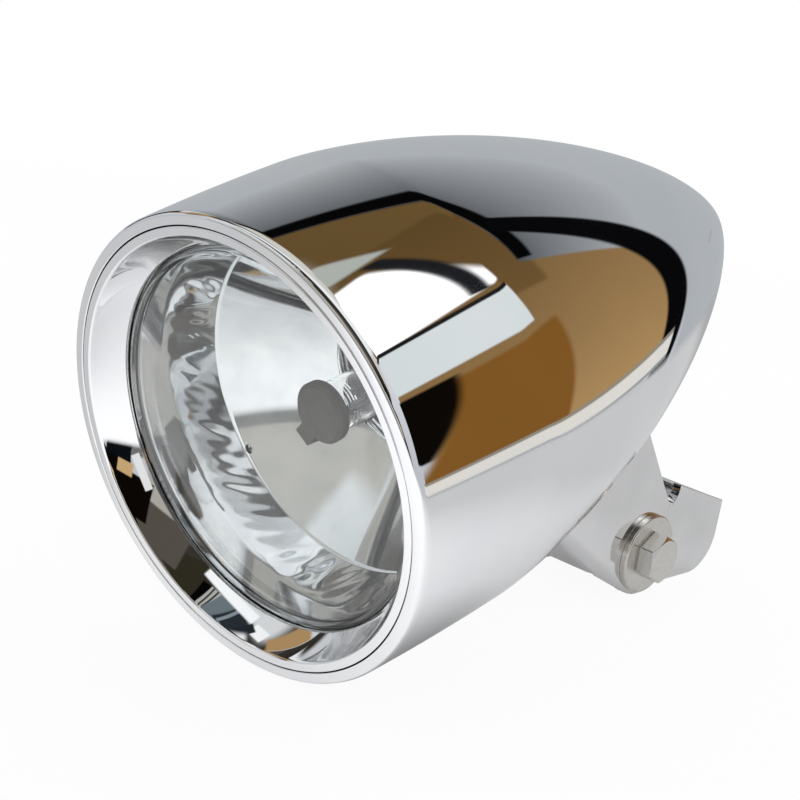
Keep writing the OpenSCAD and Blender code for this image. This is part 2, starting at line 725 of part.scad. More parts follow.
module mount_bracket() {
    color(chrome_colour) at_pivot() difference() {
        union() {
            for (side = [0, 1]) mirror([side, 0, 0]) across(wall_in, wall_out) cheek_outline();
            across(-wall_in - seat, wall_in + seat) base_strip();
        }
        rod(-wall_out - cut, wall_out + cut, bolt_r + run_gap);
        translate([0, hole_back, -pivot_h - cut]) cylinder(h = bracket_t + 2 * cut, r = hole_r);
    }
}

shell();
shell_bracket();
cable_grommet();
bezel_ring();
bezel_screw();
lens_glass();
lens_gasket();
reflector();
retaining_clips();
bulb_shield();
bulb_glass();
bulb_filaments();
bulb_base();
bulb_contacts();
bulb_clip();
dust_boot();
connector();
pivot_bolt();
flat_washers();
spring_washer();
pivot_nut();
pivot_spacer();
mount_bracket();
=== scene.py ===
import math

import bmesh
import bpy
import numpy as np
from mathutils import Matrix, Vector


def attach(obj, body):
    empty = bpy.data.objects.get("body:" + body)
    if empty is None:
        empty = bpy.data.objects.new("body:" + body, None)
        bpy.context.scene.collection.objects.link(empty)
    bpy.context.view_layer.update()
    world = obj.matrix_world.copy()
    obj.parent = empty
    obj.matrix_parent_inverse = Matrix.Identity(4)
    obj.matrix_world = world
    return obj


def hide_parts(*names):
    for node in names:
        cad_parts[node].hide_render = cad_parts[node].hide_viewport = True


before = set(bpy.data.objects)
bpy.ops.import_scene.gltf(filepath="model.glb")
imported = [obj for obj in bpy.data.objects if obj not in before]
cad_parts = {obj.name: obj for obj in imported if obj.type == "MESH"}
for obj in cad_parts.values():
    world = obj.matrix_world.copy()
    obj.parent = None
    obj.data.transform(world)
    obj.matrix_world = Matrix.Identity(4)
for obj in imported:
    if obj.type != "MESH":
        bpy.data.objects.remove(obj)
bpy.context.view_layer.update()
print("frame loaded:", len(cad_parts), "nodes")

mm = 0.001
rng = np.random.default_rng(7)

# Where the lamp's own axis lies in the part's frame, in mm
headPlace = {"pivotBack": 140.2, "pivotDrop": 85.0, "holeBack": 26.0, "pivotHeight": 13.4, "rimRadius": 58.0}


# Angle that sets rim and base on one flat surface: the base height seen from the pivot plus the rim's
def headTilt():
    rimUp = headPlace["pivotDrop"] - headPlace["rimRadius"]
    back = headPlace["pivotBack"]
    return math.asin(headPlace["pivotHeight"] / math.hypot(back, rimUp)) + math.atan2(rimUp, back)


# Turns an array of points about the X axis by angle
def turnX(points, angle):
    c, s = math.cos(angle), math.sin(angle)
    x, y, z = points[..., 0], points[..., 1], points[..., 2]
    return np.stack([x, c * y - s * z, s * y + c * z], -1)


# From the lamp's frame (axis along Y, rim plane at 0, mm) to the part's frame in metres
def fromHead(points):
    moved = points - np.array([0.0, headPlace["pivotBack"], -headPlace["pivotDrop"]])
    return (turnX(moved, headTilt()) + np.array([0.0, -headPlace["holeBack"], headPlace["pivotHeight"]])) * mm


# From a frame at the pivot with the bolt along X, in mm, to the part's frame in metres
def fromPivot(points):
    return (points + np.array([0.0, -headPlace["holeBack"], headPlace["pivotHeight"]])) * mm


# A grid of points, rows by columns, as quads that close round each row; a row that is one point becomes a pole
def meshFromGrid(name, grid, wrapRows=False, outward=True):
    rows, cols = grid.shape[:2]
    i = np.arange(rows if wrapRows else rows - 1)[:, None]
    j = np.arange(cols)[None, :]
    nextRow, nextCol = (i + 1) % rows, (j + 1) % cols
    quads = np.stack([i * cols + j, i * cols + nextCol, nextRow * cols + nextCol, nextRow * cols + j], -1)
    mesh = bpy.data.meshes.new(name)
    mesh.from_pydata(grid.reshape(-1, 3).tolist(), [], quads.reshape(-1, 4).tolist())
    finishMesh(mesh, outward)
    return mesh


# Merges doubles, turns the faces outwards and shades them smooth
def finishMesh(mesh, outward):
    bm = bmesh.new()
    bm.from_mesh(mesh)
    bmesh.ops.remove_doubles(bm, verts=bm.verts, dist=2e-7)
    if outward:
        bmesh.ops.recalc_face_normals(bm, faces=bm.faces)
    for face in bm.faces:
        face.smooth = True
    bm.to_mesh(mesh)
    bm.free()
    mesh.update()


# Makes the mesh a piece that rides on a body and stands for CAD nodes
def addPiece(name, mesh, material, body, nodes=()):
    piece = bpy.data.objects.new(name, mesh)
    bpy.context.scene.collection.objects.link(piece)
    mesh.materials.clear()
    mesh.materials.append(material)
    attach(piece, body)
    if nodes:
        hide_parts(*nodes)
    return piece


# Closed profile with each corner eased by a short parabola that leaves its sides a given length from it.
# One more point just outside each easing keeps the flat sides flat under smooth shading
def roundProfile(points, radii, steps=4):
    p = np.asarray(points, float)
    before, after = np.roll(p, 1, 0) - p, np.roll(p, -1, 0) - p
    lengthBefore, lengthAfter = np.linalg.norm(before, axis=1), np.linalg.norm(after, axis=1)
    reach = np.minimum(np.broadcast_to(radii, len(p)), 0.42 * np.minimum(lengthBefore, lengthAfter))
    before, after = before / lengthBefore[:, None], after / lengthAfter[:, None]
    t = np.linspace(0, 1, steps + 1)[None, :, None]
    start, end = (p + before * reach[:, None])[:, None], (p + after * reach[:, None])[:, None]
    eased = (1 - t) ** 2 * start + 2 * t * (1 - t) * p[:, None] + t**2 * end
    outer = (p + before * reach[:, None] * 1.15)[:, None]
    last = (p + after * reach[:, None] * 1.15)[:, None]
    return np.concatenate([outer, eased, last], 1).reshape(-1, 2)


# Turns a closed profile of (radius, y) about the lamp's axis
def latheHead(name, profile, segments):
    turn = np.linspace(0, 2 * np.pi, segments, endpoint=False)[None, :]
    r, y = profile[:, :1], profile[:, 1:]
    grid = np.stack([r * np.sin(turn), y + 0 * turn, r * np.cos(turn)], -1)
    return meshFromGrid(name, fromHead(grid), wrapRows=True)


# Turns a closed profile of (radius, x) about the pivot bolt's axis
def lathePivot(name, profile, segments=128):
    turn = np.linspace(0, 2 * np.pi, segments, endpoint=False)[None, :]
    r, x = profile[:, :1], profile[:, 1:]
    grid = np.stack([x + 0 * turn, r * np.sin(turn), r * np.cos(turn)], -1)
    return meshFromGrid(name, fromPivot(grid), wrapRows=True)


# One mesh made of several, without changing their points
def joinMeshes(name, *meshes):
    bm = bmesh.new()
    for mesh in meshes:
        bm.from_mesh(mesh)
    joined = bpy.data.meshes.new(name)
    bm.to_mesh(joined)
    bm.free()
    return joined


# A CAD node's own solid with its doubles merged, its flats made whole and its sharp edges eased by width mm
def easedCopy(name, node, width, segments=3, angle=28):
    bm = bmesh.new()
    bm.from_mesh(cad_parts[node].data)
    bmesh.ops.remove_doubles(bm, verts=bm.verts, dist=1e-6)
    bmesh.ops.recalc_face_normals(bm, faces=bm.faces)
    bmesh.ops.dissolve_limit(bm, angle_limit=math.radians(0.6), verts=bm.verts, edges=bm.edges)
    sharp = [e for e in bm.edges if len(e.link_faces) == 2 and e.calc_face_angle(0) > math.radians(angle)]
    bmesh.ops.bevel(bm, geom=sharp, offset=width * mm, offset_type="OFFSET", segments=segments, profile=0.5,
                    affect="EDGES", clamp_overlap=True, harden_normals=False)
    for face in bm.faces:
        face.smooth = True
    mesh = bpy.data.meshes.new(name)
    bm.to_mesh(mesh)
    bm.free()
    return mesh


# Large faces keep their own normals, so that the eased edges don't shade across them
def holdFlats(piece):
    weighted = piece.modifiers.new("flats", "WEIGHTED_NORMAL")
    weighted.mode = "FACE_AREA"
    weighted.weight = 80
    weighted.keep_sharp = True
    return piece


# sRGB hex to linear red, green, blue and 1
def linear(hexColour):
    c = np.array([int(hexColour[i:i + 2], 16) for i in (1, 3, 5)]) / 255
    c = np.where(c <= 0.04045, c / 12.92, ((c + 0.055) / 1.055) ** 2.4)
    return (*c.tolist(), 1.0)


# Adds a shader node, sets its options and sockets, and links sockets given as name: source
def addNode(tree, kind, settings=None, links=None):
    node = tree.nodes.new("ShaderNode" + kind)
    for key, value in (settings or {}).items():
        if isinstance(key, str) and hasattr(node, key):
            setattr(node, key, value)
        else:
            node.inputs[key].default_value = value
    for key, source in (links or {}).items():
        tree.links.new(source, node.inputs[key])
    return node


# A material with its Principled shader; returns the material, its tree, the shader and Object coordinates
def newMaterial(name, hexColour, **shaderValues):
    material = bpy.data.materials.new(name)
    material.use_nodes = True
    tree = material.node_tree
    shader = tree.nodes["Principled BSDF"]
    shader.inputs["Base Color"].default_value = linear(hexColour)
    for key, value in shaderValues.items():
        shader.inputs[key.replace("_", " ")].default_value = value
    place = addNode(tree, "TexCoord").outputs["Object"]
    return material, tree, shader, place


# Noise scale that gives a pattern of about sizeMm on Object coordinates in metres
def perMetre(sizeMm):
    return 1000.0 / sizeMm


# Cloudy variation of the roughness between low and high
def mottle(tree, shader, place, sizeMm, low, high):
    noise = addNode(tree, "TexNoise", {"Scale": perMetre(sizeMm), "Detail": 4.0}, {"Vector": place})
    span = addNode(tree, "MapRange", {"From Min": 0.3, "From Max": 0.7, "To Min": low, "To Max": high},
                   {"Value": noise.outputs["Fac"]})
    tree.links.new(span.outputs["Result"], shader.inputs["Roughness"])
    return noise


# Base colour between two close tones, carried by a noise
def tint(tree, shader, noise, hexLow, hexHigh):
    ramp = addNode(tree, "ValToRGB", {}, {"Fac": noise.outputs["Fac"]})
    ramp.color_ramp.elements[0].color, ramp.color_ramp.elements[0].position = linear(hexLow), 0.35
    ramp.color_ramp.elements[1].color, ramp.color_ramp.elements[1].position = linear(hexHigh), 0.65
    tree.links.new(ramp.outputs["Color"], shader.inputs["Base Color"])


# Fine relief of a real depth, drawn at a real size
def grain(tree, shader, place, sizeMm, depthMm, strength, stretch=(1, 1, 1)):
    scaled = addNode(tree, "Mapping", {"Scale": stretch}, {"Vector": place})
    noise = addNode(tree, "TexNoise", {"Scale": perMetre(sizeMm), "Detail": 3.0},
                    {"Vector": scaled.outputs["Vector"]})
    bump = addNode(tree, "Bump", {"Strength": strength, "Distance": depthMm * mm}, {"Height": noise.outputs["Fac"]})
    tree.links.new(bump.outputs["Normal"], shader.inputs["Normal"])


# Bright chrome plate: mirror sharp, a breath of haze in broad clouds and a faint pull of the buffing
def makeChrome():
    material, tree, shader, place = newMaterial("brightChromePlate", "#edeef0", Metallic=1.0)
    noise = mottle(tree, shader, place, 26, 0.012, 0.035)
    tint(tree, shader, noise, "#ebecef", "#f0f0f1")
    grain(tree, shader, place, 14, 0.004, 0.35)  # long slow swell left by the polishing wheel
    return material


# Polished and chromed sheet steel: flat mirror with the rolled sheet's slight haze
def makePolishedSheet():
    material, tree, shader, place = newMaterial("polishedSteelSheet", "#e4e4e5", Metallic=1.0)
    noise = mottle(tree, shader, place, 14, 0.05, 0.08)
    tint(tree, shader, noise, "#e1e1e2", "#e7e7e8")
    grain(tree, shader, place, 9, 0.001, 0.12)
    return material


# Cold-forged stainless fasteners: warm grey, satin, with fine tumbling marks
def makeStainless():
    material, tree, shader, place = newMaterial("forgedStainless", "#d9d7d3", Metallic=1.0)
    noise = mottle(tree, shader, place, 1.2, 0.2, 0.28)
    tint(tree, shader, noise, "#d4d1cc", "#dedcd8")
    grain(tree, shader, place, 0.6, 0.003, 0.4)
    return material


# Vacuum-deposited aluminium on lacquered plastic: brilliant, a little cloudy in patches
def makeReflectorCoat():
    material, tree, shader, place = newMaterial("vapourAluminium", "#eef0f2", Metallic=1.0)
    noise = mottle(tree, shader, place, 11, 0.02, 0.07)
    tint(tree, shader, noise, "#e6e9ec", "#f3f4f5")
    return material


# Pressed soda-lime glass: clear and smooth, a faint swell from the mould
def makeGlass():
    material, tree, shader, place = newMaterial("clearPressedGlass", "#fbfdfd", Roughness=0.0, IOR=1.52)
    shader.inputs["Transmission Weight"].default_value = 1.0
    grain(tree, shader, place, 22, 0.02, 0.25)
    return material


# Fused quartz bulb envelope: clear and thin
def makeQuartz():
    material, tree, shader, place = newMaterial("fusedQuartz", "#ffffff", Roughness=0.0, IOR=1.46)
    shader.inputs["Transmission Weight"].default_value = 1.0
    mottle(tree, shader, place, 3, 0.0, 0.03)
    return material


# Heat-proof coat on the pressed shield: flat, warm grey-brown, slightly uneven from the heat
def makeShieldCoat():
    material, tree, shader, place = newMaterial("heatproofShieldCoat", "#6e6965", Metallic=0.0)
    noise = mottle(tree, shader, place, 2.5, 0.55, 0.72)
    tint(tree, shader, noise, "#68635f", "#75706c")
    grain(tree, shader, place, 0.35, 0.02, 0.5)
    return material


# Moulded rubber: near black, dull, with a fine orange-peel skin
def makeRubber(name, hexColour):
    material, tree, shader, place = newMaterial(name, hexColour, Metallic=0.0)
    noise = mottle(tree, shader, place, 2.0, 0.55, 0.75)
    tint(tree, shader, noise, hexColour, "#232323")
    grain(tree, shader, place, 0.4, 0.03, 0.6)
    return material


# Glass-filled nylon connector body: matt black with spark-eroded mould texture
def makeNylon():
    material, tree, shader, place = newMaterial("mouldedNylon", "#19191a", Metallic=0.0)
    noise = mottle(tree, shader, place, 0.9, 0.42, 0.6)
    tint(tree, shader, noise, "#161617", "#202021")
    grain(tree, shader, place, 0.25, 0.02, 0.7)
    return material


# Drawn or stamped small metal: satin with streaks finer than the part
def makeWireMetal(name, hexLow, hexHigh, low, high):
    material, tree, shader, place = newMaterial(name, hexLow, Metallic=1.0)
    noise = mottle(tree, shader, place, 1.2, low, high)
    tint(tree, shader, noise, hexLow, hexHigh)
    grain(tree, shader, place, 0.3, 0.004, 0.5, (1, 4, 1))
    return material


chrome = makeChrome()
polishedSheet = makePolishedSheet()
stainless = makeStainless()
reflectorCoat = makeReflectorCoat()
pressedGlass = makeGlass()
quartz = makeQuartz()
shieldCoat = makeShieldCoat()
rubber = makeRubber("mouldedRubber", "#1b1b1b")
nylon = makeNylon()
springSteel = makeWireMetal("springSteel", "#a9aaab", "#c2c2c2", 0.2, 0.35)
zincSteel = makeWireMetal("zincPlatedSteel", "#b4b6b8", "#cccdcf", 0.22, 0.4)
brass = makeWireMetal("stampedBrass", "#c8a860", "#dbbf7e", 0.22, 0.38)
tungsten = makeWireMetal("tungstenCoil", "#6f6f72", "#8a8a8c", 0.3, 0.5)
print("materials made")


# The bullet shell
shellShape = {"rimRadius": 58.0, "bellyRadius": 59.3, "bellyBack": 43.0, "length": 192.0, "bellyPower": 1.56,
              "tailPower": 0.73, "wall": 1.8, "hemWall": 3.0, "hemDepth": 15.0, "rimRound": 1.2,
              "grommetBack": 126.0, "grommetHole": 5.6}


# Radius at y: a parabola from the rim out to the belly, then belly times (1 - t^p)^q down to the tail
def bulletRadius(y, belly, rim, length):
    d = shellShape
    front = belly - (belly - rim) * ((d["bellyBack"] - y) / d["bellyBack"]) ** 2
    t = np.clip((y - d["bellyBack"]) / (length - d["bellyBack"]), 0, 1)
    back = belly * (1 - t ** d["bellyPower"]) ** d["tailPower"]
    return np.where(y < d["bellyBack"], front, back)


# Outline points as (radius, y), closer together at the tail, where y goes as a sine of the step
def bulletOutline(belly, rim, length, start, steps):
    y = start + (length - start) * np.sin(np.linspace(0, np.pi / 2, steps))
    y[-1] = length
    r = bulletRadius(y, belly, rim, length)
    r[-1] = 0
    return np.stack([r, y], -1)


# Rolled rim as a quarter circle, outer and inner outline, and the hem inside the rim; the faces under the
# grommet are taken out
def makeShell():
    d = shellShape
    inset = d["wall"]
    outside = bulletOutline(d["bellyRadius"], d["rimRadius"], d["length"], d["rimRound"], 200)
    inside = bulletOutline(d["bellyRadius"] - inset, d["rimRadius"] - inset, d["length"] - 2 * inset,
                           d["hemDepth"], 90)[::-1]
    a = np.linspace(0, np.pi / 2, 7)[:-1]
    rim = d["rimRadius"]
    rimEdge = np.stack([rim - d["rimRound"] * (1 - np.sin(a)), d["rimRound"] * (1 - np.cos(a))], -1)
    hem = rim - d["hemWall"]
    inner = np.array([[hem, d["hemDepth"]], [hem, d["hemDepth"] - 0.2], [hem, 0.5], [hem, 0.3], [hem + 0.1, 0.06],
                      [hem + 0.3, 0.0]])
    profile = np.concatenate([rimEdge, outside, inside, inner])
    mesh = latheHead("bulletShell", profile, segments=320)
    bm = bmesh.new()
    bm.from_mesh(mesh)
    under = -float(bulletRadius(np.array(d["grommetBack"]), d["bellyRadius"], rim, d["length"]))
    hole = Vector(fromHead(np.array([0.0, d["grommetBack"], under])))
    near = [f for f in bm.faces if (f.calc_center_median() - hole).length < d["grommetHole"] * mm]
    bmesh.ops.delete(bm, geom=near, context="FACES")
    bm.to_mesh(mesh)
    bm.free()
    addPiece("bulletShell", mesh, chrome, "lamp_head", ["shell"])


makeShell()
print("shell made")

# Bezel ring and glass
bezelShape = {"outer": 54.72, "lip": 52.35, "lipBack": 0.4, "throat": 48.0, "throatDepth": 8.0, "sag": 0.25,
              "seat": 8.8, "skirtInner": 53.65, "depth": 21.0, "glassFront": 9.8, "glassThick": 3.0,
              "glassOuter": 52.85, "glassRise": 6.5, "domeInset": 1.2, "domeEdge": 1.4}


# Flat front band, a slightly hollow cone down to the glass, r = lip + (throat - lip) (t - sag t (1 - t)),
# a step behind the glass and a straight skirt
def makeBezel():
    d = bezelShape
    t = np.linspace(0.03, 1, 33)
    roll = np.stack([d["lip"] + (d["throat"] - d["lip"]) * (t - d["sag"] * t * (1 - t)),
                     d["lipBack"] + (d["throatDepth"] - d["lipBack"]) * t], -1)
    back = roundProfile([[d["throat"], d["seat"]], [d["skirtInner"], d["seat"]], [d["skirtInner"], d["depth"]],
                         [d["outer"], d["depth"]], [d["outer"], 0.0], [d["lip"] + 0.35, 0.0], [d["lip"] + 0.02, 0.4]],
                        [0.2, 0.2, 0.3, 0.3, 0.5, 0.35, 0.1], 5)
    addPiece("bezelRing", latheHead("bezelRing", np.concatenate([roll, back]), 320), chrome, "lamp_head",
             ["bezel_ring"])


# Flat flange, rolled shoulder and a shallow dome whose height falls with the square of the radius
def makeLens():
    d = bezelShape
    shoulder, shoulderY = d["throat"] - d["domeInset"], d["glassFront"] - d["domeEdge"]
    top = d["glassFront"] - d["glassRise"]
    flange = d["glassFront"] + d["glassThick"] - 0.05
    r = np.linspace(1, 0, 60)
    front = np.stack([shoulder * r, top + (shoulderY - top) * r**2], -1)
    backR = (shoulder - 1.4) * r[::-1]
    back = np.stack([backR, top + d["glassThick"] + (shoulderY + 1.2 - top) * (backR / shoulder) ** 2], -1)
    edge = roundProfile([[shoulder - 0.9, flange], [d["glassOuter"], flange], [d["glassOuter"], d["glassFront"]],
                         [d["throat"] - 0.1, d["glassFront"]], [d["throat"] - 0.6, d["glassFront"] - 0.7]],
                        [0.25, 0.3, 0.3, 0.3, 0.4], 5)
    profile = np.concatenate([front, back[1:], edge])
    addPiece("domedGlass", latheHead("domedGlass", profile, 256), pressedGlass, "lamp_head", ["lens_glass"])


makeBezel()
makeLens()
print("bezel and glass made")

# Reflector: band of hollow facets round a smooth bowl
bowlShape = {"flange": 12.8, "inner": 50.8, "bandFront": 22.0, "bandRadius": 50.0, "crease": 45.0, "creaseBack": 36.0,
             "focal": 19.3, "bulbHole": 19.0, "bulbBase": 72.3, "wall": 1.4, "skirt": 53.55, "facets": 36,
             "facetCols": 24, "facetDepth": 0.13, "bandPower": 1.35, "sway": 0.16, "toolMark": 0.013}


# Radius falls from band to crease by a power curve, less a hollow that goes as sin squared of the turn;
# behind the crease the bowl is a parabola, r = sqrt(4 f (vertex - y))
def makeReflector():
    d = bowlShape
    turn = np.linspace(0, 2 * np.pi, d["facets"] * d["facetCols"], endpoint=False)[None, :]
    bandY = np.linspace(d["bandFront"], d["creaseBack"], 36)[:, None]
    s = (bandY - d["bandFront"]) / (d["creaseBack"] - d["bandFront"])
    # the mould was cut by hand: facets differ in depth, and slow waves shift their middles round and along the band
    uneven = np.repeat(rng.uniform(0.35, 1.0, d["facets"]), d["facetCols"])[None, :]
    shift = sum(rng.uniform(0.25, 0.5) * np.sin(k * turn + rng.uniform(0, 6.28)) for k in (5, 9, 14))
    along = np.clip(s + d["sway"] * np.sin(7 * turn + 1.0) * s * (1 - s) * 4, 0, 1)
    rounds = np.sin(d["facets"] * turn / 2 + shift * np.sin(np.pi * s)) ** 2
    hollow = d["facetDepth"] * uneven * rounds * np.sin(np.pi * along)
    for k, level in ((23, 2), (31, 3), (47, 4), (67, 5)):  # tool marks, waves that run aslant over the band
        mark = np.sin(k * turn + level * np.pi * s + rng.uniform(0, 6.28))
        hollow = hollow + d["toolMark"] * mark * np.sin(np.pi * s)
    band = d["bandRadius"] + (d["crease"] - d["bandRadius"]) * s ** d["bandPower"] - hollow
    edge = d["crease"] - 0.15
    vertex = d["creaseBack"] + edge**2 / (4 * d["focal"])
    neck = vertex - d["bulbHole"] ** 2 / (4 * d["focal"])
    bowlY = (d["creaseBack"] + (neck - d["creaseBack"]) * np.linspace(0, 1, 44))[:, None]
    bowl = np.sqrt(4 * d["focal"] * (vertex - bowlY))
    frontY = np.linspace(d["flange"], d["bandFront"] - 0.4, 8)[:, None]
    front = d["inner"] + (d["bandRadius"] - d["inner"]) * (frontY - d["flange"]) / (d["bandFront"] - d["flange"])
    ones = np.ones_like(turn)
    backY = np.linspace(neck, d["creaseBack"], 14)
    shell = np.stack([np.sqrt(4 * d["focal"] * (vertex - backY)) + d["wall"], backY + 0.6 * d["wall"]], -1)
    outer = np.array([[d["bulbHole"], d["bulbBase"]], [d["bulbHole"] + d["wall"], d["bulbBase"]], *shell.tolist(),
                      [d["inner"] + 0.9, d["bandFront"]], [d["inner"] + d["wall"], d["flange"] + d["wall"]],
                      [d["skirt"], d["flange"] + d["wall"]], [d["skirt"], d["flange"] + 0.05],
                      [d["inner"], d["flange"] + 0.05]])
    r = np.concatenate([front * ones, band, bowl * ones, outer[:, :1] * ones])
    y = np.concatenate([frontY * ones, bandY * ones, bowlY * ones, outer[:, 1:] * ones])
    grid = fromHead(np.stack([r * np.sin(turn), y, r * np.cos(turn)], -1))
    mesh = meshFromGrid("facetedReflector", grid, wrapRows=True)
    addPiece("facetedReflector", mesh, reflectorCoat, "lamp_head", ["reflector"])


makeReflector()
print("reflector made")


# Pivot bolt, nut and flat washers
boltShape = {"flats": 13.0, "head": 5.5, "headTurn": 27.0, "shank": 4.0, "earOutside": 17.5, "washer": 2.0,
             "washerRadius": 12.0, "springWasher": 2.0, "nut": 6.5, "gap": 0.2, "corner": 0.35, "chamfer": 30.0,
             "flatShare": 0.955, "endPast": 2.5}


# Distance to a hexagon's side, apothem / cos, with each corner replaced by an arc of the given radius
def hexRadius(turn, apothem, corner):
    fromMiddle = (turn + np.pi / 6) % (np.pi / 3) - np.pi / 6
    toCorner = np.pi / 6 - np.abs(fromMiddle)
    centre = (apothem - corner) / math.cos(math.pi / 6)
    limit = math.pi / 6 - math.atan((apothem - corner) * math.tan(math.pi / 6) / apothem)
    arc = centre * np.cos(toCorner) + np.sqrt(np.maximum(corner**2 - (centre * np.sin(toCorner)) ** 2, 0))
    return np.where(toCorner < limit, arc, apothem / np.cos(fromMiddle))


# Rows up the side, each the lesser of the hexagon and the chamfer's cone at the end, then the flat end
def hexGrid(height, apothem, bothEnds, hole=0.0):
    d = boltShape
    turn = (np.linspace(0, 2 * np.pi, 288, endpoint=False) + math.pi / 6)[None, :]
    side = hexRadius(turn, apothem, d["corner"])
    cornerRadius = apothem / math.cos(math.pi / 6)
    flatRadius = apothem * d["flatShare"]
    slope = math.tan(math.radians(d["chamfer"]))
    drop = (cornerRadius - flatRadius) * slope
    up = np.concatenate([np.linspace(0, height - drop - 0.1, 5), np.linspace(height - drop, height, 22)])[:, None]
    cone = flatRadius + (height - up) / slope
    if bothEnds:
        up = np.concatenate([np.linspace(0, drop, 22)[:, None], up[5:]])
        cone = np.minimum(flatRadius + (height - up) / slope, flatRadius + up / slope)
    r = np.minimum(side, cone)
    ends = np.array([0.985, 0.93, 0.8, 0.5, hole / flatRadius if hole else 0.0])[:, None]
    topR = r[-1:] * ends
    topUp = height - 0.05 * np.sin(np.pi * np.clip((1 - ends) / 0.2, 0, 1) / 2) + 0 * topR
    lowR = (r[:1] * ends)[::-1]
    return np.concatenate([lowR, r, topR]), np.concatenate([0 * lowR, up + 0 * r, topUp]), turn


# Head and nut from the hexagon's rows, the shank and both washers turned about the bolt's axis
def makeBolt():
    d = boltShape
    start = d["earOutside"] + d["washer"]
    r, up, turn = hexGrid(d["head"], d["flats"] / 2, False)
    turn = turn + math.radians(d["headTurn"])
    head = meshFromGrid("boltHead", fromPivot(np.stack([start + up, r * np.sin(turn), r * np.cos(turn)], -1)))
    nutX = -d["earOutside"] - d["washer"] - d["springWasher"]
    end = nutX - d["nut"] - d["endPast"]
    shank = lathePivot("boltShank", roundProfile([[0.0, end], [d["shank"] - 0.8, end], [d["shank"], end + 0.8],
                                                  [d["shank"], start + 0.3], [0.0, start + 0.3]], 0.1))
    addPiece("pivotBolt", joinMeshes("pivotBolt", head, shank), stainless, "lamp_head", ["pivot_bolt"])
    r, up, turn = hexGrid(d["nut"], d["flats"] / 2, True, d["shank"] + 0.05)
    nutGrid = fromPivot(np.stack([nutX - up, r * np.sin(turn), r * np.cos(turn)], -1))
    nut = meshFromGrid("pivotNut", nutGrid, wrapRows=True)
    addPiece("pivotNut", nut, stainless, "lamp_head", ["pivot_nut"])
    inner = d["shank"] + d["gap"]
    rings = []
    for side in (1, -1):
        profile = roundProfile([[inner, side * d["earOutside"]], [d["washerRadius"], side * d["earOutside"]],
                                [d["washerRadius"], side * (d["earOutside"] + d["washer"])],
                                [inner, side * (d["earOutside"] + d["washer"])]], [0.2, 0.25, 0.6, 0.3], 5)
        rings.append(lathePivot("washer", profile, 192))
    addPiece("flatWashers", joinMeshes("flatWashers", *rings), stainless, "lamp_head", ["flat_washers"])


makeBolt()

# Pieces that keep the solid's shape with eased edges: node, width of the easing in mm, finish, body and slot
easedPieces = {
    "earBracket": ("shell_bracket", 0.35, polishedSheet, "lamp_head", "chrome_plate"),
    "baseBracket": ("mount_bracket", 0.35, polishedSheet, "mount", "chrome_plate"),
    "glareShield": ("bulb_shield", 0.18, shieldCoat, "lamp_head", "shield_paint"),
    "connectorBody": ("connector", 0.4, nylon, "lamp_head", "black_plastic"),
}
for name, (node, width, material, body, slotName) in easedPieces.items():
    holdFlats(addPiece(name, easedCopy(name, node, width), material, body, [node]))
print("brackets and fasteners made")

# CAD nodes that keep their own mesh
nodeFinishes = {"cable_grommet": rubber, "lens_gasket": rubber, "dust_boot": rubber, "bezel_screw": stainless,
                "retaining_clips": springSteel, "bulb_clip": springSteel, "bulb_glass": quartz,
                "bulb_filaments": tungsten, "bulb_base": zincSteel, "bulb_contacts": brass,
                "spring_washer": stainless, "pivot_spacer": stainless}
for node, material in nodeFinishes.items():
    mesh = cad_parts[node].data
    mesh.materials.clear()
    mesh.materials.append(material)
print("finishes given to", len(nodeFinishes), "nodes")

# Table top; lengths and places in metres
floorShape = {"radius": 0.75, "fadeFrom": 0.4, "drop": 0.0003, "shade": "#f4f5f6", "cameraWhite": 0.94,
              "lampPlace": (0.0, -0.08, 0.0), "mirrorNear": 0.2, "mirrorFar": 0.7,
              "frontTone": 1.3, "backTone": 0.54, "leftTone": 0.42,
              "contactPlace": (0.0, -0.15, 0.0), "contactReach": (0.025, 0.085), "contactShade": 0.55}


